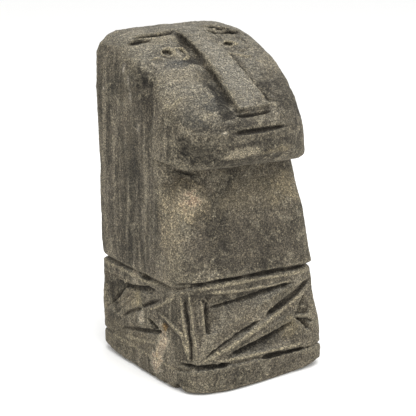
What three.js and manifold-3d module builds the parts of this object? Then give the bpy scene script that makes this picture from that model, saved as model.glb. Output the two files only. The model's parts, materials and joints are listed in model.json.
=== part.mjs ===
/*
 * A head-and-bust figure carved from one rectangular block of grey volcanic sandstone.
 * The block is lofted from level outlines: each has a flat back, two flat sides and a
 * front that is bowed like half a superellipse. The carving is then cut into it.
 * Units are millimetres, +Z is up, the figure faces -Y and +X is its own left.
 */
import * as THREE from 'three';
import Module from 'manifold-3d';

// The block.
const HALF_WIDTH = 79;
const BACK = 85;
const BACK_SQUARE = 16;
const OUTLINE_POINTS = 60;

// Level outlines of the block from the base up, then of the head from the jaw up. Pairs are
// for the figure's right and left: ends is where the flat side gives way to the front,
// square is how square the front corner is (2 is an ellipse). Front, half and back are the
// reach of the outline forwards, sideways and backwards.
const level = (z, front, ends, square, changes = {}) => (
  { z, front, ends, square, half: HALF_WIDTH, back: BACK, backSquare: BACK_SQUARE, ...changes });
const BODY_LEVELS = [
  level(0, -83, [-36, -46], [3, 3.2], { half: HALF_WIDTH - 4, back: BACK - 3, backSquare: 5 }),
  level(3, -86, [-40, -52], [3.2, 4.2], { half: HALF_WIDTH - 1, back: BACK - 0.8, backSquare: 8 }),
  level(8, -87, [-40, -58], [3.2, 7]),
  level(18, -87, [-40, -58], [3.2, 7.5]),
  level(34, -84.5, [-38, -56], [3.2, 7.5]),
  level(46, -82.5, [-37, -54], [3.6, 7.5]),
  level(65, -76, [-35, -48], [4, 7.5], { half: HALF_WIDTH - 0.5 }),
  level(96.5, -67.5, [-30, -40], [4.6, 7.5], { half: HALF_WIDTH - 1 }),
  level(103.5, -70, [-30, -41], [4.6, 7.5]),
  level(116, -66.5, [-28, -38], [4.9, 7.2]),
  level(133, -62, [-24, -34], [5.2, 7]),
  level(156, -55.5, [-18, -27], [5.2, 6.5]),
  level(186, -44.5, [-10, -15], [4.8, 6]),
  level(208, -38, [-4, -8], [4, 5]),
];
const HEAD_LEVELS = [
  level(208, -65, [-26, -30], [3, 3.2]),
  level(211, -72, [-22, -26], [3, 3.2]),
  level(216, -76.5, [-17, -20], [3, 3.1]),
  level(222, -80, [-10, -14], [3, 2.9]),
  level(230, -83, [-4, -8], [3.1, 2.8]),
  level(240, -84, [4, 0], [3.3, 2.7]),
  level(249, -81, [11, 8], [3.4, 2.8]),
  level(258, -74, [18, 16], [3.5, 3]),
  level(266, -65, [24, 22], [3.7, 3.4]),
  level(279, -46, [28, 27], [4.2, 4.1]),
  level(294, -23, [32, 32], [4.2, 4.2]),
  level(306, -2, [38, 38], [3.2, 3.2], { half: HALF_WIDTH - 1 }),
  level(315, 13, [46, 46], [2.5, 2.5], { half: HALF_WIDTH - 5, back: BACK - 0.5 }),
  level(321, 22, [50, 50], [2.4, 2.4], { half: HALF_WIDTH - 12, back: BACK - 2.5 }),
  level(325, 29, [53, 53], [2.3, 2.3], { half: HALF_WIDTH - 21, back: BACK - 6 }),
  level(327.5, 38, [55, 55], [2.2, 2.2], { half: HALF_WIDTH - 36, back: BACK - 12 }),
];

// The jaw line climbs towards the figure's right and left side by this much.
const JAW_RISE = [12, 2];
const JAW_FADE = 248;
const TENON = 24;

// On the front, the jaw and the two lines round the block run a little higher than on the
// sides, and drop slightly towards the figure's left.
const FRONT_LIFT = 4.5;
const FRONT_LEAN = -0.05;

// Two chiselled lines run round the block, above and below the carved band.
const WAIST_LINE = { height: 100, depth: 4.5 };
const BASE_LINE = { height: 22, halfWidth: 2.4, depth: 2.8 };

// The nose is a slab standing on the sloping face: [y, z] along its ridge.
const NOSE_RIDGE = [
  [36, 327], [18, 324.5], [-17, 308.5], [-33, 298], [-50, 285], [-60, 277], [-70.5, 268.5],
];
const NOSE_TOP = { centre: -4, half: 12.5 };
const NOSE_TIP = { centre: 1, half: 18.5 };
const NOSE_FLARE = 2.5;
const NOSE_ROOT = 14;
const NOSE_UNDERCUT = 9;

// Face carving, by x and height on the front of the head.
const MOUTH = { from: [-31, 248.5], to: [32, 248.5], width: 4.4, depth: 3.6 };
const BROWS = [
  { from: [-68, 318], to: [-47, 321.5] },
  { from: [-53, 323.5], to: [-18, 325.5] },
  { from: [21, 326], to: [40, 323] },
  { from: [21, 323], to: [56, 319.5] },
];
const BROW_CUT = { width: 4.5, depth: 3 };
const EYES = [
  { centre: [-38, 311], half: 13, rise: 5, pupil: [-42, 311.5] },
  { centre: [36, 311], half: 14, rise: 4.6, pupil: [30, 313] },
];
const EYE_CUT = { width: 2.8, depth: 1 };
const PUPIL = { half: 5, rise: 2.2, depth: 4 };

// How far the cutting shapes stand above the stone, and how deep a line is at its ends.
const CLEARANCE = 12;
const LINE_ABOVE = 1.5;
const LINE_END = 0.3;
const STONE = { color: '#7a7467', roughness: 0.92, metalness: 0 };

// The outline at a height, between the two nearest levels.
function outlineAt(levels, z) {
  const last = levels.length - 1;
  const height = THREE.MathUtils.clamp(z, levels[0].z, levels[last].z);
  const upper = Math.max(1, levels.findIndex((level) => level.z >= height));
  const [a, b] = [levels[upper - 1], levels[upper]];
  const t = (height - a.z) / (b.z - a.z);
  const mix = (p, q) => (Array.isArray(p) ? p.map((v, i) => mix(v, q[i])) : THREE.MathUtils.lerp(p, q, t));
  return Object.fromEntries(Object.keys(a).map((key) => [key, mix(a[key], b[key])]));
}

function ring(level, { inset = 0, rise = [0, 0], lift = 0 } = {}) {
  const points = [];
  for (let i = 0; i < OUTLINE_POINTS; i += 1) {
    const angle = (2 * Math.PI * i) / OUTLINE_POINTS;
    const c = Math.cos(angle);
    const s = Math.sin(angle);
    const side = c < 0 ? 0 : 1;
    const power = 2 / (s > 0 ? level.backSquare : level.square[side]);
    const reach = s > 0 ? level.back - inset : level.front + inset;
    const x = Math.sign(c) * (level.half - inset) * Math.abs(c) ** power;
    const y = level.ends[side] + (reach - level.ends[side]) * Math.abs(s) ** power;
    const climb = rise[side] * Math.abs(c) ** 6;
    const lean = lift * Math.max(0, -s) ** 1.5 * (FRONT_LIFT + FRONT_LEAN * x);
    points.push(new THREE.Vector3(x, y, level.z + climb + lean));
  }
  return points;
}

// Closes a list of vertices and triangles into a solid with its faces pointing out.
function solidFrom(wasm, vertices, triangles) {
  let volume = 0;
  for (const [a, b, c] of triangles) {
    volume += vertices[a].dot(vertices[b].clone().cross(vertices[c]));
  }
  const order = volume < 0 ? triangles.map(([a, b, c]) => [a, c, b]) : triangles;
  const vertProperties = new Float32Array(vertices.flatMap((v) => v.toArray()));
  const triVerts = new Uint32Array(order.flat());
  return new wasm.Manifold(new wasm.Mesh({ numProp: 3, vertProperties, triVerts }));
}

// Skins a row of outlines that all have the same number of points, and closes both ends.
function loft(wasm, outlines) {
  const count = outlines[0].length;
  const vertices = outlines.flat();
  const triangles = [];
  for (let k = 0; k < outlines.length - 1; k += 1) {
    for (let i = 0; i < count; i += 1) {
      const a = k * count + i;
      const b = k * count + ((i + 1) % count);
      triangles.push([a, b, b + count], [a, b + count, a + count]);
    }
  }
  const top = (outlines.length - 1) * count;
  for (const end of [0, top]) {
    const middle = new THREE.Vector3();
    vertices.slice(end, end + count).forEach((v) => middle.addScaledVector(v, 1 / count));
    vertices.push(middle);
    for (let i = 0; i < count; i += 1) {
      const [a, b] = [end + i, end + ((i + 1) % count)];
      triangles.push(end === 0 ? [b, a, vertices.length - 1] : [a, b, vertices.length - 1]);
    }
  }
  return solidFrom(wasm, vertices, triangles);
}

// A point of the front at a given x and height, with the way the surface faces there.
function frontPoint(levels, x, z) {
  const at = (px, pz) => {
    const level = outlineAt(levels, pz);
    const side = px < 0 ? 0 : 1;
    const power = level.square[side];
    const share = Math.min(Math.abs(px) / level.half, 0.995);
    const bow = (1 - share ** power) ** (1 / power);
    return new THREE.Vector3(px, level.ends[side] + (level.front - level.ends[side]) * bow, pz);
  };
  const across = at(x + 1, z).sub(at(x - 1, z));
  const up = at(x, z + 1.5).sub(at(x, z - 1.5));
  return { point: at(x, z), normal: across.cross(up).normalize() };
}

// The same for a side: way is -1 for the figure's right and 1 for its left.
function sidePoint(levels, way, y, z) {
  const at = (py, pz) => {
    const level = outlineAt(levels, pz);
    const side = way < 0 ? 0 : 1;
    const power = level.square[side];
    const end = level.ends[side];
    const share = THREE.MathUtils.clamp((end - py) / (end - level.front), 0, 0.98);
    return new THREE.Vector3(way * level.half * (1 - share ** power) ** (1 / power), py, pz);
  };
  const along = at(y + 1, z).sub(at(y - 1, z));
  const up = at(y, z + 1).sub(at(y, z - 1));
  return { point: at(y, z), normal: along.cross(up).multiplyScalar(way).normalize() };
}

// A chisel line: a V drawn along the surface, shallow at both ends. Its sides run on for a
// little above the surface so that the line stays open where the stone bulges.
function chiselLine(wasm, path, width, depth, closed = false) {
  const sections = path.map(({ point, normal }, i) => {
    const before = path[closed ? (i + path.length - 1) % path.length : Math.max(i - 1, 0)].point;
    const after = path[closed ? (i + 1) % path.length : Math.min(i + 1, path.length - 1)].point;
    const side = after.clone().sub(before).cross(normal).normalize();
    const cut = closed || (i > 0 && i < path.length - 1) ? depth : depth * LINE_END;
    const half = ((width / 2) * (cut + LINE_ABOVE)) / depth;
    const rim = point.clone().addScaledVector(normal, LINE_ABOVE);
    return [
      rim.clone().addScaledVector(side, half),
      point.clone().addScaledVector(normal, -cut),
      rim.clone().addScaledVector(side, -half),
      point.clone().addScaledVector(normal, 3 * LINE_ABOVE),
    ];
  });
  if (!closed) {
    return loft(wasm, sections);
  }
  const triangles = [];
  for (let k = 0; k < sections.length; k += 1) {
    const next = (k + 1) % sections.length;
    for (let i = 0; i < 4; i += 1) {
      const j = (i + 1) % 4;
      triangles.push([k * 4 + i, k * 4 + j, next * 4 + j], [k * 4 + i, next * 4 + j, next * 4 + i]);
    }
  }
  return solidFrom(wasm, sections.flat(), triangles);
}

// A chip of stone taken out: corners on the surface, each with the depth cut there.
function recess(wasm, corners) {
  const mouth = corners.map(({ point, normal }) => point.clone().addScaledVector(normal, CLEARANCE));
  const floor = corners.map(({ point, normal, depth }) => point.clone().addScaledVector(normal, -depth));
  return loft(wasm, [floor, mouth]);
}

// A scoop of stone taken out in sloping facets: rows of places across it, each with the
// depth cut there. The rows run the same way and have the same number of places.
function scoop(wasm, rows) {
  const count = rows[0].length;
  const places = rows.flat();
  const at = (row, column, mouth) => (row * count + column) + (mouth ? places.length : 0);
  const triangles = [];
  const quad = (a, b, c, d) => triangles.push([a, b, c], [a, c, d]);
  for (let i = 0; i < rows.length - 1; i += 1) {
    for (let k = 0; k < count - 1; k += 1) {
      quad(at(i, k), at(i + 1, k), at(i + 1, k + 1), at(i, k + 1));
      quad(at(i, k, true), at(i, k + 1, true), at(i + 1, k + 1, true), at(i + 1, k, true));
    }
    quad(at(i, 0), at(i, 0, true), at(i + 1, 0, true), at(i + 1, 0));
    quad(at(i, count - 1), at(i + 1, count - 1), at(i + 1, count - 1, true), at(i, count - 1, true));
  }
  const last = rows.length - 1;
  for (let k = 0; k < count - 1; k += 1) {
    quad(at(0, k), at(0, k + 1), at(0, k + 1, true), at(0, k, true));
    quad(at(last, k), at(last, k, true), at(last, k + 1, true), at(last, k + 1));
  }
  const floor = places.map(({ point, normal, depth }) => point.clone().addScaledVector(normal, -depth));
  const mouth = places.map(({ point, normal }) => point.clone().addScaledVector(normal, CLEARANCE));
  return solidFrom(wasm, [...floor, ...mouth], triangles);
}

function steps(from, to, count, make) {
  const at = (i) => make(THREE.MathUtils.lerp(from, to, i / count), i / count);
  return Array.from({ length: count + 1 }, (_, i) => at(i));
}

// The bust from the ground up; its last outlines run on inside the head.
function buildBody(wasm) {
  const isWaist = (level) => Math.abs(level.z - WAIST_LINE.height) < 5;
  const rings = BODY_LEVELS.slice(0, -1).map((level) => ring(level, { lift: isWaist(level) ? 1 : 0 }));
  rings.push(ring(outlineAt(BODY_LEVELS, WAIST_LINE.height), { inset: WAIST_LINE.depth, lift: 1 }));
  for (const [offset, inset] of [[-1, 0], [0, BASE_LINE.depth], [1, 0]]) {
    const height = BASE_LINE.height + offset * BASE_LINE.halfWidth;
    rings.push(ring(outlineAt(BODY_LEVELS, height), { inset, lift: 1 }));
  }
  rings.sort((a, b) => a[0].z - b[0].z);
  const neck = BODY_LEVELS.at(-1);
  rings.push(ring({ ...neck, z: neck.z + 0.6 }, { inset: 0.3, rise: JAW_RISE, lift: 1 }));
  rings.push(ring({ ...neck, z: neck.z + TENON / 3 }, { inset: TENON / 4, rise: JAW_RISE, lift: 1 }));
  rings.push(ring({ ...neck, z: neck.z + TENON }, { inset: TENON / 2 }));
  return loft(wasm, rings);
}

function buildHead(wasm) {
  return loft(wasm, HEAD_LEVELS.map((level) => {
    const fade = Math.max(0, (JAW_FADE - level.z) / (JAW_FADE - HEAD_LEVELS[0].z));
    return ring(level, { rise: JAW_RISE.map((rise) => rise * fade), lift: fade });
  }));
}

function buildNose(wasm) {
  const sections = NOSE_RIDGE.map(([y, z], i) => {
    const share = i / (NOSE_RIDGE.length - 1);
    const half = THREE.MathUtils.lerp(NOSE_TOP.half, NOSE_TIP.half, share);
    const centre = THREE.MathUtils.lerp(NOSE_TOP.centre, NOSE_TIP.centre, share);
    const foot = half + NOSE_FLARE;
    const back = i === NOSE_RIDGE.length - 1 ? NOSE_UNDERCUT : 0;
    return [
      new THREE.Vector3(centre - half, y, z),
      new THREE.Vector3(centre - foot, y + back, z - NOSE_ROOT),
      new THREE.Vector3(centre + foot, y + back, z - NOSE_ROOT),
      new THREE.Vector3(centre + half, y, z),
    ];
  });
  return loft(wasm, sections);
}

// A straight chisel line between two places on a surface.
function stroke(wasm, at, from, to, { width, depth }) {
  const path = steps(0, 1, 6, (t) => (
    at(THREE.MathUtils.lerp(from[0], to[0], t), THREE.MathUtils.lerp(from[1], to[1], t))));
  return chiselLine(wasm, path, width, depth);
}

// Points round an oval on a surface, evenly by angle.
function oval(at, centre, half, rise, count) {
  return steps(0, 2 * Math.PI, count, (angle) => (
    at(centre[0] + half * Math.cos(angle), centre[1] + rise * Math.sin(angle)))).slice(0, -1);
}

function cutFace(wasm) {
  const at = (x, z) => frontPoint(HEAD_LEVELS, x, z);
  const floor = (x, z) => ({ ...at(x, z), depth: PUPIL.depth });
  return [
    stroke(wasm, at, MOUTH.from, MOUTH.to, MOUTH),
    ...BROWS.map(({ from, to }) => stroke(wasm, at, from, to, BROW_CUT)),
    ...EYES.map(({ centre, half, rise }) => (
      chiselLine(wasm, oval(at, centre, half, rise, 16), EYE_CUT.width, EYE_CUT.depth, true))),
    ...EYES.map(({ pupil }) => recess(wasm, oval(floor, pupil, PUPIL.half, PUPIL.rise, 8))),
  ];
}

// The carved band on the front: arms folded across, cut as sloping scoops and lines.
function cutFrontBand(wasm) {
  const at = (x, z, depth = 0) => ({ ...frontPoint(BODY_LEVELS, x, z), depth });
  const cut = (from, to, width, depth) => stroke(wasm, at, from, to, { width, depth });
  const row = (...places) => places.map(([x, z, depth]) => at(x, z, depth));
  const RIM = 0.3;
  const upperArm = [
    row([-56, 95.7, RIM], [-48, 95.5, RIM], [-15, 91, RIM], [11, 89, RIM], [33, 88, RIM], [49, 88, RIM]),
    row([-48, 84, 7], [-40, 80, 8], [-23, 81.6, 7], [-5, 82, 6], [13, 84.4, 4.5], [43, 86, 1]),
    row([-53, 58, 2], [-43, 60, RIM], [-25, 66.2, RIM], [-7, 71, RIM], [9, 76, RIM], [44, 85, RIM]),
  ];
  const elbow = [
    row([-58.5, 93, RIM], [-59.5, 75.3, RIM], [-59.3, 56.5, RIM]),
    row([-49, 86.5, 6], [-50, 70, 6.5], [-53.4, 60.6, 4]),
    row([-43, 84.2, 6], [-38, 70.3, 3], [-44.5, 59.2, RIM]),
  ];
  const lowerArm = [
    row([-35, 38.2, RIM], [-25, 41, RIM], [-7, 44.2, RIM], [12, 47.2, RIM], [26, 49, RIM], [40, 52.6, RIM]),
    row([-32, 36.6, 1], [-22, 38, 4], [-4, 41, 5.5], [15, 44.3, 5.5], [28, 47, 4.5], [42, 50, 2]),
    row([-31, 34.7, RIM], [-14, 33, RIM], [5, 32, RIM], [22, 32.2, RIM], [38, 33.5, RIM], [46, 41, RIM]),
  ];
  return [
    scoop(wasm, upperArm),
    scoop(wasm, elbow),
    scoop(wasm, lowerArm),
    recess(wasm, [at(61, 73, 0.5), at(46, 57.7, 7), at(62, 54.5, 7), at(68, 61, 2)]),
    recess(wasm, [at(46.4, 54.6, 7), at(58, 41.4, 1.5), at(67, 48, 3), at(61, 52.2, 8)]),
    cut([-66, 34.5], [3, 61], 4, 3),
    cut([12, 63.5], [72, 86.3], 6.5, 4),
    cut([-38, 38.7], [48, 64.4], 2.4, 1.5),
    cut([-72, 92.6], [-70.8, 36.1], 3, 2.2),
  ];
}

// The carved band on a side: the upper arm slopes down and back to the elbow.
function cutSideBand(wasm, way) {
  const at = (y, z, depth = 0) => ({ ...sidePoint(BODY_LEVELS, way, y, z), depth });
  const cut = (from, to, width, depth) => stroke(wasm, at, from, to, { width, depth });
  const wrist = [
    [at(-31, 65.6, 0.3), at(-43, 64.6, 0.3), at(-57, 58.2, 0.3)],
    [at(-34, 61.8, 2), at(-45, 60.4, 4), at(-56.4, 55.4, 2.6)],
    [at(-34.6, 52.4, 0.3), at(-45.5, 50.2, 0.3), at(-56, 51.4, 0.3)],
  ];
  return [
    scoop(wasm, wrist),
    recess(wasm, [at(73, 86, 2), at(30, 82, 4), at(50, 62, 5), at(73, 44, 3)]),
    recess(wasm, [at(28, 83, 0.5), at(-18, 92, 0.5), at(-14, 86, 3.5), at(20, 79, 3.5)]),
    recess(wasm, [at(38, 35, 0.5), at(-31, 47.5, 0.5), at(-29, 54, 5), at(10, 43, 3.5)]),
    recess(wasm, [at(-8, 60, 0.5), at(-13, 50.5, 4), at(-28, 55, 4.5)]),
    cut([36, 50], [4, 66], 3.4, 2.5),
    cut([4, 67], [-18, 80], 3, 2),
    cut([-26, 78], [-50, 94], 2.4, 1.4),
  ];
}

const wasm = await Module();
wasm.setup();

const cuts = [
  ...cutFace(wasm),
  ...cutFrontBand(wasm),
  ...cutSideBand(wasm, -1),
  ...cutSideBand(wasm, 1),
];
const stone = buildBody(wasm).add(buildHead(wasm)).add(buildNose(wasm));
const statue = cuts.reduce((left, cut) => left.subtract(cut), stone);

const carved = statue.getMesh();
const geometry = new THREE.BufferGeometry();
geometry.setAttribute('position', new THREE.Float32BufferAttribute(carved.vertProperties, carved.numProp));
geometry.setIndex(new THREE.Uint32BufferAttribute(carved.triVerts, 1));
// The origin is on the ground under the middle of the block.
geometry.computeBoundingBox();
const middle = geometry.boundingBox.getCenter(new THREE.Vector3());
geometry.translate(-middle.x, -middle.y, 0);
geometry.computeVertexNormals();

const mesh = new THREE.Mesh(geometry, new THREE.MeshStandardMaterial(STONE));
mesh.name = 'carved_figure';

const group = new THREE.Group();
group.add(mesh);

export default group;
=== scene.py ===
import json
import math

import bpy
import numpy as np
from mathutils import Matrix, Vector, noise

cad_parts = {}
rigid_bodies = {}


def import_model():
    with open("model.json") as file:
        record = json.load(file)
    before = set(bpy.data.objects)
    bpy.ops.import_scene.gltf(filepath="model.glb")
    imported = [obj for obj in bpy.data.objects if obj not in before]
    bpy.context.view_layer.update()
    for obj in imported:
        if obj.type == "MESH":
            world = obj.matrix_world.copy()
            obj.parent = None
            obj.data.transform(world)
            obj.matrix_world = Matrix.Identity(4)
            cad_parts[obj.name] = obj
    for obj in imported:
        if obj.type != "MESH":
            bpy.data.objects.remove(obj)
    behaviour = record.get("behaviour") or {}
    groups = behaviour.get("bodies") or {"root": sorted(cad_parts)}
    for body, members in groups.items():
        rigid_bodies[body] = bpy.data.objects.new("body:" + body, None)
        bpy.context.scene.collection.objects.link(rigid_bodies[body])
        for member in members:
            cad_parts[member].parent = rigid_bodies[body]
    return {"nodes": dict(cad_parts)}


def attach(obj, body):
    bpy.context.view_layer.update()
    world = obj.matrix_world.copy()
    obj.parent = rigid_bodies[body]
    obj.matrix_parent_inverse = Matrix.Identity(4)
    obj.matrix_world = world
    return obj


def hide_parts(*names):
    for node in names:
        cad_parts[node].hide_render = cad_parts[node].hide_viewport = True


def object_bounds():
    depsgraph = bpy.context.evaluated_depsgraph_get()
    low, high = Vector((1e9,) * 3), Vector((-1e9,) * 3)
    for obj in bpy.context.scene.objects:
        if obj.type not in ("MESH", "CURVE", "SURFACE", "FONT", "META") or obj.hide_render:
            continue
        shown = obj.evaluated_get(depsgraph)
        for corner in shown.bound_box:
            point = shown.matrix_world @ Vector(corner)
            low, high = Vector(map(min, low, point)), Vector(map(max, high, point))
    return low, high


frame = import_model()
cad_box = [list(corner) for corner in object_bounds()]


# ---------------------------------------------------------------------------
# The carved figure. One block of grey-brown volcanic sandstone, sawn square,
# cut with a flat chisel and left to weather: open grain, soft edges, chips.
# It is a single piece and stands on its sawn underside.

MM = 0.001
SKIN_STEP = 0.0010
SOFTEN_ROUNDS = 2
MOST_TRIANGLES = 190000

bpy.ops.object.select_all(action="DESELECT")
block = frame["nodes"]["carved_figure"]
statue = block.copy()
statue.data = block.data.copy()
statue.name = "weathered_figure"
bpy.context.collection.objects.link(statue)
statue.select_set(True)
bpy.context.view_layer.objects.active = statue
statue.data.materials.clear()

bpy.ops.object.mode_set(mode="EDIT")
bpy.ops.mesh.select_all(action="SELECT")
bpy.ops.mesh.remove_doubles(threshold=0.00001)
bpy.ops.object.mode_set(mode="OBJECT")


def finish_with(kind, **settings):
    """Adds a modifier to the statue and applies it."""
    modifier = statue.modifiers.new(kind.title(), kind)
    for key, value in settings.items():
        setattr(modifier, key, value)
    bpy.ops.object.modifier_apply(modifier=modifier.name)


# An even skin over the whole block, with its arrises rubbed down as on the real stone.
finish_with("REMESH", mode="VOXEL", voxel_size=SKIN_STEP)
finish_with("SMOOTH", factor=0.5, iterations=SOFTEN_ROUNDS)

# Only the block itself is kept, not crumbs that the skinning leaves beside it.
bpy.ops.object.mode_set(mode="EDIT")
bpy.ops.mesh.select_all(action="DESELECT")
bpy.ops.object.mode_set(mode="OBJECT")
max(statue.data.vertices, key=lambda vertex: vertex.co.z).select = True
bpy.ops.object.mode_set(mode="EDIT")
bpy.ops.mesh.select_linked()
bpy.ops.mesh.select_all(action="INVERT")
bpy.ops.mesh.delete(type="VERT")
bpy.ops.object.mode_set(mode="OBJECT")


def places(mesh):
    """Every vertex's place, as an array of metres."""
    flat = np.empty(len(mesh.vertices) * 3, dtype=np.float32)
    mesh.vertices.foreach_get("co", flat)
    return flat.reshape(-1, 3).astype(np.float64)


def facings(mesh):
    """The way the surface faces at every vertex."""
    flat = np.empty(len(mesh.vertices) * 3, dtype=np.float32)
    mesh.vertex_normals.foreach_get("vector", flat)
    return flat.reshape(-1, 3).astype(np.float64)


def spread(mesh, values, rounds):
    """Averages values over neighbouring vertices, a number of times."""
    ends = np.empty(len(mesh.edges) * 2, dtype=np.int32)
    mesh.edges.foreach_get("vertices", ends)
    a, b = ends.reshape(-1, 2).T
    count = len(mesh.vertices)
    weight = np.bincount(a, minlength=count) + np.bincount(b, minlength=count) + 1.0
    for _ in range(rounds):
        total = values.copy()
        for k in range(values.shape[1]):
            total[:, k] += np.bincount(a, values[b, k], count)
            total[:, k] += np.bincount(b, values[a, k], count)
        values = total / weight[:, None]
    return values


def bulge(mesh, rounds):
    """How far each vertex stands out of its surroundings, in metres: edges are positive."""
    points = places(mesh)
    return ((points - spread(mesh, points, rounds)) * facings(mesh)).sum(axis=1)


def lumps(points, size, octaves=3, seed=0.0, stretch=(1.0, 1.0, 1.0)):
    """Noise between about -1 and 1 over the points, with lumps of the given size."""
    scaled = points / size / np.array(stretch) + seed
    return np.array([noise.fractal(Vector(p), 1.0, 2.0, octaves) for p in scaled])


# Chisel strokes, each a row of places with its width and depth in millimetres. A negative
# depth is a ridge left standing. On the front a place is (x, height), on a side (y, height).
FRONT_STROKES = [
    (((-78, 107), (-71, 107), (-56, 106.5), (-43, 107.5), (-23, 105), (-5, 104)), 6.5, 3.6),
    (((-5, 104), (13, 103), (31, 102), (48, 100.5), (70, 99.5)), 6.0, 3.0),
    (((-77, 30), (-73, 29), (-66, 28), (-52, 28.5), (-35, 28)), 7.0, 6.0),
    (((0, 25.5), (22, 24.5), (54, 23)), 5.0, 4.4),
    (((56, 22.5), (60, 22.5)), 5.0, 4.0),
    (((-72, 94), (-72, 81), (-71, 71), (-71, 58), (-71, 46), (-71, 33)), 4.4, 3.0),
    (((-74.5, 96), (-74.5, 80), (-74.3, 70), (-73.6, 57), (-73.3, 45), (-73, 36)), 3.6, -1.4),
    (((-68.6, 100), (-68.6, 88), (-68, 74), (-68, 60), (-68, 46), (-67.5, 34)), 3.6, -1.4),
    (((-65.5, 96), (-65, 80), (-64.5, 60), (-64, 40)), 4.0, 1.2),
    (((-57.5, 93), (-58, 75), (-58.6, 56)), 6.0, -2.2),
    (((-50, 90), (-51, 72), (-53.5, 57)), 7.0, 5.0),
    (((-46, 80.5), (-23, 81.4), (-5, 82.3), (13, 84.8), (30, 86.3), (48, 87.5)), 6.0, 3.6),
    (((-48, 97), (-15, 92.5), (11, 90.5), (33, 89.5), (50, 89.5)), 4.0, -1.2),
    (((-62, 102), (-23, 100.5), (13, 98.5), (48, 96), (76, 95)), 4.2, -0.6),
    (((-60, 38), (-46, 45.5), (-34, 50), (-26, 53), (-12, 56.5), (4, 61)), 5.4, 3.8),
    (((10, 62), (24, 66.5), (37.5, 70.5), (51, 75.5), (64, 81.5), (75, 87)), 9.5, 3.6),
    (((-62, 34.5), (-45, 41), (-24, 48), (4, 55.5), (34, 66), (60, 77)), 6.0, -1.6),
    (((-37, 36), (-22, 37.6), (-4, 40.4), (15, 43.5), (28, 46.3), (45, 52)), 10.0, 4.2),
    (((63, 74), (55, 64), (46, 56)), 11.0, 5.0),
    (((46, 55), (54, 47), (62, 40)), 10.0, 5.0),
    (((-50, 33), (-20, 31.5), (20, 30), (50, 29.5)), 4.0, -1.0),
    (((-33, 248.3), (-10, 248.2), (12, 248), (33, 248)), 7.4, 2.5),
]
SIDE_STROKES = [
    (((82, 96), (40, 96), (0, 95.5), (-28, 99)), 6.0, -1.2),
    (((38, 80.5), (12, 85), (-1, 88.5), (-18, 91)), 7.0, 4.0),
    (((10, 97), (3, 99), (-7, 98.5)), 6.5, 2.6),
    (((42, 47.5), (26, 57), (6, 66)), 5.6, 2.3),
    (((8, 66.5), (-10, 76), (-26, 84)), 5.6, 2.8),
    (((42, 35), (17, 41), (-1, 45), (-19, 50), (-32, 54)), 6.5, 2.3),
    (((-4, 59), (-19, 53)), 7.0, 4.0),
    (((64, 85), (44, 83.5), (33, 81), (47, 69), (66, 50)), 6.4, 2.8),
    (((-6, 67), (-27, 79), (-52, 95)), 5.4, -2.0),
    (((-22, 71), (-40, 68.6), (-51, 65), (-60, 59), (-64, 48), (-66, 36)), 5.0, -2.0),
    (((36, 28), (8, 33), (-22, 39)), 5.0, -1.4),
    (((66, 49), (44, 62), (18, 80)), 5.0, 1.3),
    (((54, 46), (34, 62), (8, 82)), 5.0, 1.3),
    (((48, 41), (22, 60)), 4.0, 1.2),
    (((64, 22), (40, 22), (10, 22), (-20, 22), (-52, 22)), 7.0, -2.2),
]
# On the sloping face a place is (x, y, height).
FACE_STROKES = [
    (((-71, 39, 318), (-64, 36, 320), (-57, 33, 321), (-47, 29.5, 321)), 7.0, 4.4),
    (((-60, 41, 322.5), (-52, 39, 324), (-40, 34.5, 324.5), (-27, 34.5, 325.7), (-16, 37, 327)),
     6.6, 5.4),
    (((20, 42, 327.5), (26, 38.5, 326.5), (33, 36, 325.5), (46, 34.5, 323.5)), 7.4, 7.4),
    (((18, 30.5, 324.5), (24, 27.5, 323), (34, 27.5, 322), (45, 28.5, 321.5), (58, 31, 320)),
     6.6, 6.6),
    (((-17, 37, 327), (-17.5, 28, 323), (-18.5, 18, 318)), 6.0, 2.6),
    (((-17, 33, 326), (-18.5, 20, 319), (-19, 6, 313), (-19, -6, 307), (-19, -17, 300)),
     14.0, 3.2),
    (((-19, -17, 300), (-19, -31, 291), (-20, -47, 279), (-21, -60, 268)), 9.0, 2.2),
    (((-29, 12, 313.5), (-26, 8, 311), (-26, 3, 308)), 7.0, 2.0),
    (((-33, 14, 314), (-25, 12, 313), (-23, 6, 310), (-25, 1, 307), (-29, -2, 305), (-37, -2, 305)),
     4.2, -1.8),
    (((-46, 15, 313), (-38, 15.5, 314), (-34, 11, 312), (-38, 5, 308.5), (-45, 5, 308)), 3.8, -1.6),
    (((-45, 5, 308), (-49, 9.5, 310), (-46, 15, 313)), 3.8, -1.6),
    (((-64, 7.5, 306.5), (-55, 7.5, 308), (-50, 3, 306)), 4.6, -1.6),
    (((46, 21, 317), (54, 17, 313), (54, 9, 309), (44, 3, 307)), 6.5, 1.9),
    (((24, 12, 313.5), (29, 15.5, 315), (35, 15, 314), (40, 11, 312), (29, 7.5, 311),
      (24, 12, 313.5)), 3.8, -1.5),
    (((17, 0, 309), (27, -2, 305), (37, -7, 302), (47, -5, 301.5)), 5.0, -1.7),
    (((30, 4, 309), (41, 1, 306), (50, 3, 307)), 4.0, 1.2),
    (((13, 16, 320), (20, -18, 303), (23, -49, 281), (25, -66, 264)), 9.0, 2.8),
    (((-19, -68, 261), (-6, -69, 261), (8, -69, 261), (20, -68, 261)), 4.4, 3.6),
    (((-57, -38, 280), (-68, -39, 273), (-76, -27, 267)), 9.0, -1.4),
    (((-76, 14, 304), (-77, 2, 295), (-77, -8, 282), (-77, -14, 262), (-78, -14, 240)),
     26.0, 2.4),
    (((-66, -32, 211), (-54, -37, 206.5), (-41, -40, 203)), 7.0, 3.0),
    (((-74, -59, 1), (-77, -47, 3)), 16.0, 6.5),
    (((-79, -38, 0), (-79, -30, 3)), 10.0, 2.6),
    (((-79, -18, 1), (-79, -10, 4)), 10.0, 2.0),
    (((-60, -81, 3), (-40, -85, 5)), 9.0, 1.4),
    (((20, -86, 3), (48, -85, 3)), 9.0, 1.4),
]

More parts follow.
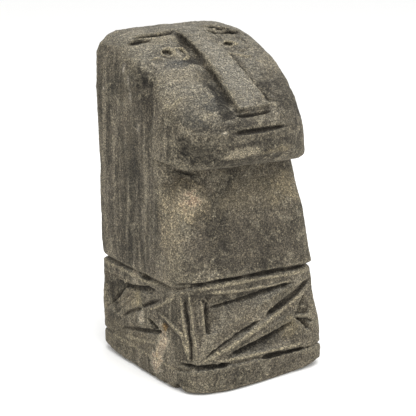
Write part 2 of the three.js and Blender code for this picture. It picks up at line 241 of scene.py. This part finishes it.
# How a stroke ends, in its own widths or as a share of it, how it wavers, and when it is
# deep enough to be painted dark with dirt and painted shade.
TAPER_WIDTHS = 1.6
TAPER_SHARE = 0.4
BLUNT_END = 0.2
THIN_END = 0.4
WAVER = 0.45
WAVER_SIZE = 0.007
DIRT_AND_SHADE_RATIO = 0.3
DIRT_AND_SHADE_DEPTH = 0.0035


def carve(path, width, depth):
    """Moves the skin in along a row of places on it, deepest along the middle of the stroke.

    A stroke thins out towards its ends and wavers as a chisel does. A cut that is deep for
    its width is painted dark, as dirt and as painted shade in the cut, and a ridge is painted as a
    crest.
    """
    mesh = statue.data
    points = places(mesh)
    low = path.min(axis=0) - width
    high = path.max(axis=0) + width
    near = np.flatnonzero(((points > low) & (points < high)).all(axis=1))
    spots = points[near]
    closest = np.full(len(near), np.inf)
    fade = np.zeros(len(near))
    lengths = np.linalg.norm(np.diff(path, axis=0), axis=1)
    before = np.concatenate([[0.0], np.cumsum(lengths)])
    run_out = min(TAPER_WIDTHS * width, TAPER_SHARE * before[-1])
    for k, length in enumerate(lengths):
        along = (path[k + 1] - path[k]) / max(length, 1e-9)
        t = np.clip((spots - path[k]) @ along, 0.0, length)
        away = np.linalg.norm(spots - path[k] - t[:, None] * along, axis=1)
        nearer = away < closest
        closest = np.where(nearer, away, closest)
        travelled = before[k] + t
        taper = np.minimum(travelled, before[-1] - travelled) / run_out
        fade = np.where(nearer, np.clip(BLUNT_END + taper, 0.0, 1.0), fade)
    waver = 1.0 + WAVER * lumps(spots, WAVER_SIZE, 2, 5.3)
    half = 0.5 * width * waver * (THIN_END + (1.0 - THIN_END) * fade)
    profile = np.clip(1.0 - closest / half, 0.0, 1.0)
    points[near] = spots - skin_facings[near] * (depth * profile * fade)[:, None]
    mesh.vertices.foreach_set("co", points.astype(np.float32).ravel())
    mesh.update()
    if depth < 0.0:
        crest[near] = np.maximum(crest[near], profile * fade)
    elif depth > DIRT_AND_SHADE_RATIO * width:
        # A deep cut is painted dark: dirt, and painted shade where its walls keep out the light.
        soot_and_shade = np.clip(profile * fade * max(1.0, 2.0 * depth / width), 0.0, 1.0)
        grime_and_shade[near] = np.maximum(grime_and_shade[near], soot_and_shade * min(depth / DIRT_AND_SHADE_DEPTH, 1.0))
        crest[near] *= 1.0 - profile * fade


skin_facings = spread(statue.data, facings(statue.data), 12)
skin_facings /= np.linalg.norm(skin_facings, axis=1)[:, None]
# Dark paint in the cuts, for dirt and painted shade, and pale paint on the ridges.
grime_and_shade = np.zeros(len(statue.data.vertices))
crest = np.zeros(len(statue.data.vertices))


def from_outside(start, way):
    """Where a straight line from a starting place meets the stone."""
    return statue.ray_cast(Vector(start), Vector(way))[1]


def traced(stroke, aim):
    """A stroke's places on the skin in metres, joined up in short steps."""
    corners = np.array(stroke) * MM
    found = []
    for start, end in zip(corners, corners[1:]):
        found += [aim(*(start + (end - start) * t)) for t in np.linspace(0.0, 1.0, 5)]
    return np.array(found)


AIMS = (
    (FRONT_STROKES, lambda x, z: from_outside((x, -0.25, z), (0.0, 1.0, 0.0))),
    (SIDE_STROKES, lambda y, z: from_outside((-0.25, y, z), (1.0, 0.0, 0.0))),
    (SIDE_STROKES, lambda y, z: from_outside((0.25, y, z), (-1.0, 0.0, 0.0))),
    (FACE_STROKES, lambda *place: statue.closest_point_on_mesh(place)[1]),
)
traces = []
for strokes, aim in AIMS:
    traces += [(traced(stroke, aim), width * MM, depth * MM) for stroke, width, depth in strokes]
for path, width, depth in traces:
    carve(path, width, depth)

# Weathering: long soft hollows, chisel facets and pitting, each with its height and size in
# metres, its octaves and its seed. Streaks run down the sides, and chips are broken from the
# arrises. The sole stays flat.
WEATHERING = ((0.0010, 0.045, 2, 3.1), (0.00040, 0.013, 3, 11.7), (0.00022, 0.0032, 2, 23.3))
STREAK_HEIGHT = 0.00025
STREAK_SIZE = 0.005
STREAK_STRETCH = (1.0, 1.0, 9.0)
CHIP_DEPTH = 0.0016
CHIP_SIZE = 0.015
CHIP_START = 0.15
CHIP_MOST = 0.6
EDGE_ROUNDS = 40
EDGE_HEIGHT = 0.0012
SOLE = 0.004
CROWN_ROOM = 0.001

mesh = statue.data
points = places(mesh)
normals = facings(mesh)
edge = np.clip(bulge(mesh, EDGE_ROUNDS) / EDGE_HEIGHT, 0.0, 1.0)
sides = np.abs(normals[:, 0]) ** 4
offset = np.zeros(len(points))
for height, size, octaves, seed in WEATHERING:
    offset += height * lumps(points, size, octaves, seed)
offset += STREAK_HEIGHT * sides * lumps(points, STREAK_SIZE, 2, 51.0, STREAK_STRETCH)
chip = np.clip(lumps(points, CHIP_SIZE, 3, 37.9) - CHIP_START, 0.0, CHIP_MOST)
offset -= CHIP_DEPTH * chip * edge
keep = np.clip(points[:, 2] / SOLE, 0.0, 1.0)
moved = points + normals * (offset * keep)[:, None]
moved[:, 2] = np.clip(moved[:, 2], cad_box[0][2], cad_box[1][2] + CROWN_ROOM)
mesh.vertices.foreach_set("co", moved.astype(np.float32).ravel())
mesh.update()


def paint(name, values):
    """Keeps one value for every vertex, held between 0 and 1, for the stone to read."""
    layer = statue.data.attributes.new(name, "FLOAT", "POINT")
    layer.data.foreach_set("value", np.clip(values, 0.0, 1.0).astype(np.float32))


# Four painted maps for the stone: dirt and painted shade in the cuts, pale ridges, then rubbed
# arrises and hollows darkened with dust and painted shade, which are found on the thinned mesh
# from its fine and its wide relief.
FINE_ROUNDS = 4
FINE_HEIGHT = 0.0004
WIDE_HEIGHT = 0.0020
paint("grime_and_shade", grime_and_shade)
paint("crest", crest)
triangles = sum(len(face.vertices) - 2 for face in mesh.polygons)
if triangles > MOST_TRIANGLES:
    finish_with("DECIMATE", ratio=MOST_TRIANGLES / triangles)
bpy.ops.object.shade_smooth()
mesh = statue.data
fine = bulge(mesh, FINE_ROUNDS) / FINE_HEIGHT
wide = bulge(mesh, EDGE_ROUNDS) / WIDE_HEIGHT
standing = fine * 0.5 + wide * 0.6
paint("rubbed", standing)
# The sunk map darkens hollows, as dust and as painted shade.
paint("sunk", -standing)

stone = bpy.data.materials.new("weathered_volcanic_sandstone")
stone.use_nodes = True
tree = stone.node_tree
tree.nodes.clear()


def linear(code):
    """An sRGB hex colour as linear red, green, blue and alpha."""
    parts = [int(code[i:i + 2], 16) / 255 for i in (1, 3, 5)]
    return (*[c / 12.92 if c <= 0.04045 else ((c + 0.055) / 1.055) ** 2.4 for c in parts], 1.0)


def node(kind, settings=None, **links):
    """Adds a node; links name its inputs, and hold a value or another node's output."""
    made = tree.nodes.new(kind)
    for key, value in (settings or {}).items():
        setattr(made, key, value)
    for name, value in links.items():
        slot = made.inputs[int(name[1:])] if name[0] == "_" else made.inputs[name]
        if isinstance(value, bpy.types.NodeSocket):
            tree.links.new(value, slot)
        else:
            slot.default_value = value
    return made


place = node("ShaderNodeTexCoord").outputs["Object"]
facing = node("ShaderNodeNewGeometry").outputs["Normal"]
facing = node("ShaderNodeSeparateXYZ", Vector=facing).outputs
height = node("ShaderNodeSeparateXYZ", Vector=place).outputs["Z"]

# Sandstone: quartz and dark ash grains about a millimetre across in a dull brown-grey
# ground; damp and soot stain it in clouds, and it never shines. Its clouds are about 38 mm
# across, its patches 11 mm and its crust 22 mm, the grain is 1.6 mm and a crystal 1 mm.
NOISE = "ShaderNodeTexNoise"
MATHS = "ShaderNodeMath"
sided = node(MATHS, {"operation": "ABSOLUTE"}, _0=facing["X"]).outputs["Value"]
cloud = node(NOISE, Vector=place, Scale=26.0, Detail=7.0, Roughness=0.66).outputs["Fac"]
patchy = node(NOISE, Vector=place, Scale=90.0, Detail=6.0, Roughness=0.7).outputs["Fac"]
crust = node(NOISE, Vector=place, Scale=46.0, Detail=9.0, Roughness=0.74, Distortion=1.2)
crust = crust.outputs["Fac"]
grain = node(NOISE, Vector=place, Scale=640.0, Detail=3.0, Roughness=0.8).outputs["Fac"]
crystals = node("ShaderNodeTexVoronoi", Vector=place, Scale=1050.0).outputs["Color"]
crystals = node("ShaderNodeSeparateColor", Color=crystals).outputs["Red"]

# Saw and chisel streaks 8 mm wide run down the sides, and thin beds of the stone, 6 mm high,
# run across the brow and cheeks.
upright = node("ShaderNodeMapping", Vector=place, Scale=(1.0, 1.0, 0.09)).outputs["Vector"]
streak = node(NOISE, Vector=upright, Scale=130.0, Detail=5.0, Roughness=0.65).outputs["Fac"]
side_pale = node(MATHS, {"operation": "MULTIPLY"}, _0=sided, _1=0.78).outputs["Value"]
side_dark = node(MATHS, {"operation": "MULTIPLY"}, _0=sided, _1=0.55).outputs["Value"]
level = node("ShaderNodeMapping", Vector=place, Scale=(0.20, 0.7, 1.0)).outputs["Vector"]
bedding = node(NOISE, Vector=level, Scale=170.0, Detail=5.0, Roughness=0.7, Distortion=0.6)
bedding = bedding.outputs["Fac"]
on_head = node("ShaderNodeMapRange", **{"Value": height, "From Min": 0.235, "From Max": 0.275})
on_face = node(MATHS, {"operation": "SUBTRACT"}, _0=on_head.outputs["Result"], _1=sided)
on_face = node(MATHS, {"operation": "MULTIPLY"}, _0=on_face.outputs["Value"], _1=0.5)
on_face = node(MATHS, {"operation": "MAXIMUM"}, _0=on_face.outputs["Value"], _1=0.0)
on_face = on_face.outputs["Value"]

# Colour ramps of the ground, the ash specks and the quartz crystals.
RAMPS = (
    (cloud, ((0.34, "#48443b"), (0.45, "#6d6658"), (0.56, "#867d6d"), (0.70, "#999080"))),
    (grain, ((0.38, "#3a3a3a"), (0.50, "#808080"), (0.62, "#cacaca"))),
    (crystals, ((0.0, "#2c2a28"), (0.30, "#6c6c6c"), (0.70, "#929292"), (1.0, "#cfcbc0"))),
)
coloured = []
for pattern, stops in RAMPS:
    ramp = node("ShaderNodeValToRGB", Fac=pattern)
    band = ramp.color_ramp.elements
    for _ in stops[2:]:
        band.new(0.5)
    for stop, (at, colour) in zip(band, stops):
        stop.position = at
        stop.color = linear(colour)
    coloured.append(ramp.outputs["Color"])
ground, speck, crystal = coloured

# Stains by place, some of them painted shade: centre and reach in metres, then colour and strength.
STAINS = [
    ((-0.058, -0.042, 0.178), (0.026, 0.020, 0.020), "#a89a80", 0.55),
    ((-0.061, -0.036, 0.194), (0.022, 0.014, 0.007), "#5d5444", 0.60),
    ((-0.052, -0.043, 0.182), (0.012, 0.016, 0.012), "#cbbda2", 0.85),
    ((-0.063, -0.044, 0.171), (0.010, 0.016, 0.010), "#c4b597", 0.80),
    ((-0.074, -0.041, 0.158), (0.009, 0.014, 0.022), "#b0a288", 0.75),
    ((-0.074, -0.044, 0.125), (0.008, 0.012, 0.030), "#a99d86", 0.65),
    ((0.020, -0.048, 0.178), (0.050, 0.020, 0.016), "#a1967f", 0.50),
    ((0.060, -0.045, 0.178), (0.020, 0.020, 0.014), "#ada084", 0.65),
    ((-0.015, -0.062, 0.132), (0.060, 0.020, 0.024), "#575046", 0.30),
    ((-0.076, 0.002, 0.294), (0.018, 0.014, 0.013), "#292621", 0.80),
    ((-0.073, -0.007, 0.292), (0.012, 0.010, 0.009), "#2d2a25", 0.70),
    ((-0.077, -0.006, 0.268), (0.014, 0.012, 0.022), "#3f3a33", 0.55),
    ((-0.062, -0.066, 0.231), (0.030, 0.024, 0.014), "#1f1d19", 0.92),
    ((-0.047, -0.075, 0.231), (0.020, 0.016, 0.010), "#2a2722", 0.70),
    ((-0.010, -0.080, 0.240), (0.090, 0.030, 0.026), "#403b34", 0.75),
    ((-0.036, -0.050, 0.272), (0.020, 0.018, 0.012), "#4b4d4c", 0.65),
    ((-0.040, -0.007, 0.302), (0.015, 0.008, 0.005), "#57595a", 0.65),
    # Painted shade with some dirt: a dark band on the cheek along the nose's left wall.
    ((-0.020, 0.020, 0.319), (0.009, 0.018, 0.010), "#38342d", 0.70),
    ((-0.022, -0.004, 0.308), (0.010, 0.018, 0.012), "#38342d", 0.75),
    ((-0.024, -0.030, 0.292), (0.010, 0.020, 0.014), "#332f28", 0.70),
    ((-0.024, -0.052, 0.274), (0.0090, 0.018, 0.014), "#2b2823", 0.80),
    ((-0.029, -0.064, 0.264), (0.010, 0.014, 0.008), "#2b2823", 0.75),
    ((-0.062, -0.056, 0.262), (0.012, 0.012, 0.010), "#4e4f4d", 0.55),
    ((0.062, -0.040, 0.272), (0.030, 0.040, 0.030), "#4b463d", 0.65),
    ((0.044, -0.046, 0.274), (0.020, 0.020, 0.014), "#443f37", 0.55),
    ((0.040, -0.062, 0.262), (0.018, 0.016, 0.010), "#37332c", 0.70),
    # Painted shade along the right side of the nose.
    ((0.024, -0.020, 0.300), (0.005, 0.024, 0.016), "#3f3a32", 0.60),
    ((0.028, -0.055, 0.276), (0.005, 0.016, 0.012), "#37332c", 0.65),
    ((0.060, -0.010, 0.290), (0.020, 0.016, 0.010), "#aba18c", 0.55),
    ((-0.050, -0.020, 0.294), (0.026, 0.016, 0.008), "#a49b88", 0.50),
    ((-0.066, -0.034, 0.276), (0.014, 0.016, 0.010), "#a09785", 0.50),
    ((-0.040, 0.026, 0.320), (0.026, 0.006, 0.004), "#a9a08c", 0.60),
    ((-0.022, -0.081, 0.230), (0.024, 0.010, 0.0045), "#b9ae96", 0.85),
    ((0.020, -0.079, 0.227), (0.016, 0.010, 0.0035), "#a89b7f", 0.65),
    ((-0.079, 0.030, 0.296), (0.006, 0.003, 0.006), "#cfc6b6", 0.80),
    ((-0.079, 0.022, 0.286), (0.006, 0.003, 0.007), "#cfc6b6", 0.80),
    ((-0.079, 0.019, 0.273), (0.006, 0.003, 0.005), "#cfc6b6", 0.80),
    ((-0.079, 0.006, 0.245), (0.006, 0.003, 0.005), "#bdb3a1", 0.70),
    ((-0.079, 0.065, 0.273), (0.006, 0.002, 0.002), "#cfc6b6", 0.80),
    ((-0.040, -0.077, 0.2495), (0.003, 0.003, 0.0015), "#cfc6b5", 0.75),
    ((-0.079, 0.024, 0.262), (0.010, 0.012, 0.050), "#948a77", 0.45),
    ((-0.079, 0.058, 0.070), (0.010, 0.014, 0.015), "#3a352b", 0.60),
    ((-0.078, 0.048, 0.0855), (0.008, 0.024, 0.003), "#ada18b", 0.70),
    ((-0.079, 0.030, 0.066), (0.010, 0.020, 0.012), "#a1957e", 0.55),
    ((-0.079, 0.010, 0.034), (0.010, 0.040, 0.010), "#978c77", 0.45),
    ((-0.079, -0.030, 0.049), (0.012, 0.009, 0.013), "#d0c6ae", 0.88),
    ((-0.079, -0.026, 0.034), (0.012, 0.007, 0.012), "#c6bda6", 0.86),
    ((-0.079, -0.021, 0.019), (0.012, 0.009, 0.011), "#d0c7b1", 0.88),
    ((-0.079, 0.013, 0.0725), (0.012, 0.009, 0.014), "#c3b593", 0.85),
    ((-0.079, 0.008, 0.0590), (0.012, 0.007, 0.011), "#cdc6b2", 0.90),
    ((-0.079, -0.034, 0.0590), (0.006, 0.0035, 0.0045), "#946d33", 0.70),
    ((-0.078, 0.018, 0.0930), (0.012, 0.007, 0.012), "#c6bba5", 0.80),
    ((-0.078, -0.036, 0.108), (0.010, 0.010, 0.012), "#aba08a", 0.60),
    ((-0.079, 0.050, 0.024), (0.010, 0.040, 0.016), "#958b76", 0.50),
    ((0.038, -0.078, 0.046), (0.010, 0.010, 0.008), "#a89b7e", 0.55),
    ((-0.032, -0.066, 0.088), (0.020, 0.010, 0.005), "#403c35", 0.65),
    ((-0.056, -0.072, 0.097), (0.022, 0.016, 0.007), "#3f3a32", 0.60),
    ((-0.004, -0.080, 0.039), (0.030, 0.010, 0.005), "#403c34", 0.60),
    ((-0.015, -0.066, 0.108), (0.070, 0.014, 0.007), "#4a453c", 0.55),
    ((0.000, -0.030, 0.297), (0.015, 0.060, 0.040), "#a8a396", 0.60),
    # Painted shade with some dirt in the brow cuts on the figure's left.
    ((0.026, 0.038, 0.323), (0.012, 0.0034, 0.012), "#171512", 0.92),
    ((0.040, 0.035, 0.322), (0.012, 0.0028, 0.012), "#171512", 0.88),
    ((0.028, 0.0275, 0.320), (0.012, 0.0026, 0.012), "#171512", 0.90),
    ((0.046, 0.0285, 0.319), (0.014, 0.0024, 0.012), "#171512", 0.88),
    ((-0.010, -0.072, 0.070), (0.040, 0.012, 0.010), "#8f8470", 0.35),
]

# How strongly upward faces are painted paler, as bleaching and as painted top light; it follows the
# clouds.
bleach_and_top_light = node(MATHS, {"operation": "MULTIPLY_ADD"}, _0=cloud, _1=-1.1, _2=1.16)

VECTORS = "ShaderNodeVectorMath"
RAGGEDNESS = 4.6
STAIN_EDGE = (3.50, 2.85)

# Every coat of colour is a pattern, the values between which it comes in, how strongly it
# covers, and its colour. Upward faces are painted paler, as bleaching by sun and rain and as
# painted light from above, and a stain's edge is broken up by the crust.
coats = [
    (patchy, 0.46, 0.62, 0.70, "#504b43"),
    (crust, 0.53, 0.60, 0.65, "#aaa18c"),
    (streak, 0.50, 0.62, side_pale, "#a99f8b"),
    (streak, 0.50, 0.38, side_dark, "#4e4a41"),
    (facing["Z"], 0.38, 0.95, bleach_and_top_light.outputs["Value"], "#aba699"),
    (bedding, 0.51, 0.60, on_face, "#aea48f"),
    (bedding, 0.49, 0.41, on_face, "#544f46"),
]
for centre, reach, colour, strength in STAINS:
    away = node(VECTORS, {"operation": "SUBTRACT"}, _0=place, _1=centre)
    away = node(VECTORS, {"operation": "DIVIDE"}, _0=away.outputs["Vector"], _1=reach)
    away = node(VECTORS, {"operation": "LENGTH"}, _0=away.outputs["Vector"]).outputs["Value"]
    ragged = node(MATHS, {"operation": "MULTIPLY_ADD"}, _0=crust, _1=RAGGEDNESS, _2=away)
    coats.append((ragged.outputs["Value"], *STAIN_EDGE, strength, colour))

# Rubbed arrises and chisel ridges are pale; hollows are darkened with dust and painted shade,
# and cuts with old dirt and painted shade.
rubbed = node("ShaderNodeAttribute", {"attribute_name": "rubbed"}).outputs["Fac"]
dust_and_shade = node("ShaderNodeAttribute", {"attribute_name": "sunk"}).outputs["Fac"]
dirt_and_shade = node("ShaderNodeAttribute", {"attribute_name": "grime_and_shade"}).outputs["Fac"]
pale = node("ShaderNodeAttribute", {"attribute_name": "crest"}).outputs["Fac"]
pale = node(MATHS, {"operation": "MULTIPLY_ADD"}, _0=patchy, _1=1.6, _2=pale)
coats += [
    (rubbed, 0.15, 0.9, 0.55, "#a49b86"),
    (pale.outputs["Value"], 0.95, 1.50, 0.75, "#b8ad93"),
    # Painted shade with dust in the hollows, and painted shade with dirt in the cuts.
    (dust_and_shade, 0.2, 1.0, 0.50, "#464036"),
    (dirt_and_shade, 0.15, 0.9, 0.75, "#2c2822"),
]
for pattern, low, high, strength, colour in coats:
    cover = node("ShaderNodeMapRange", **{"Value": pattern, "From Min": low, "From Max": high})
    cover = node(MATHS, {"operation": "MULTIPLY"}, _0=cover.outputs["Result"], _1=strength)
    coat = node("ShaderNodeMix", {"data_type": "RGBA"}, _0=cover.outputs["Value"], _6=ground)
    coat.inputs[7].default_value = linear(colour)
    ground = coat.outputs[2]

# Grains show through every coat, drawn a little coarser than real sand so that they show.
OVERLAY = {"data_type": "RGBA", "blend_type": "OVERLAY"}
for weight, grains in ((0.66, speck), (0.75, crystal)):
    over = node("ShaderNodeMix", OVERLAY, _0=weight, _6=ground)
    tree.links.new(grains, over.inputs[7])
    ground = over.outputs[2]

relief = node(MATHS, {"operation": "ADD"}, _0=patchy, _1=grain).outputs["Value"]
bump = node("ShaderNodeBump", Strength=0.6, Distance=0.0010, Height=relief).outputs["Normal"]
skin = node("ShaderNodeBsdfPrincipled", **{"Base Color": ground, "Normal": bump})
skin.inputs["Roughness"].default_value = 0.92
skin.inputs["IOR"].default_value = 1.5
skin.inputs["Specular IOR Level"].default_value = 0.25
node("ShaderNodeOutputMaterial", Surface=skin.outputs["BSDF"])
statue.data.materials.append(stone)

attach(statue, "root")
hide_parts("carved_figure")


# ---------------------------------------------------------------------------
# The floor. A seamless sheet of pale matt card under and behind the figure.
# It is a stage and no part of the object.

bpy.ops.object.select_all(action="DESELECT")
bpy.ops.mesh.primitive_plane_add(size=40.0, location=(0.0, 0.0, 0.0))
floor = bpy.context.active_object
floor.name = "pale_floor"
card = bpy.data.materials.new("pale_card")
card.use_nodes = True
card_skin = card.node_tree.nodes["Principled BSDF"]
card_skin.inputs["Base Color"].default_value = linear("#f7f7f6")
card_skin.inputs["Roughness"].default_value = 0.9
floor.data.materials.append(card)


# ---------------------------------------------------------------------------
# The light. A white tent all round, with a large soft lamp above and in front
# and a weaker one low on the figure's left, so that the cuts keep some shade.

world = bpy.data.worlds.new("white_tent")
bpy.context.scene.world = world
world.use_nodes = True
sky = world.node_tree.nodes["Background"]
sky.inputs["Color"].default_value = (1.0, 1.0, 1.0, 1.0)
sky.inputs["Strength"].default_value = 1.0


def lamp(name, place, aim, size, watts):
    """A square soft lamp at a place, turned to its aim."""
    light = bpy.data.lights.new(name, "AREA")
    light.shape = "SQUARE"
    light.size = size
    light.energy = watts
    made = bpy.data.objects.new(name, light)
    made.location = place
    made.rotation_euler = (Vector(aim) - Vector(place)).to_track_quat("-Z", "Y").to_euler()
    bpy.context.collection.objects.link(made)
    return made


lamp("soft_box_above", (-0.2, -0.6, 1.7), (0.0, 0.0, 0.15), 1.4, 27.0)
lamp("soft_box_right", (1.2, -1.5, 0.8), (0.0, 0.0, 0.15), 1.2, 6.0)


# ---------------------------------------------------------------------------
# The camera. A long lens in front of the figure and to its right, a little above
# its brow, looking down at the middle of the stone.

AZIMUTH = math.radians(-35.77)
ELEVATION = math.radians(15.88)
DISTANCE = 1.245
AIM = Vector((0.0, 0.001, 0.164))

back = Vector((
    math.sin(AZIMUTH) * math.cos(ELEVATION),
    -math.cos(AZIMUTH) * math.cos(ELEVATION),
    math.sin(ELEVATION),
))
lens = bpy.data.cameras.new("camera")
lens.lens = 110.0
lens.sensor_width = 36.0
lens.shift_x = -0.0044
lens.shift_y = -0.0211
camera = bpy.data.objects.new("camera", lens)
camera.location = AIM + back * DISTANCE
camera.rotation_euler = back.to_track_quat("Z", "Y").to_euler()
bpy.context.collection.objects.link(camera)
bpy.context.scene.camera = camera
bpy.context.scene.view_settings.view_transform = "Standard"
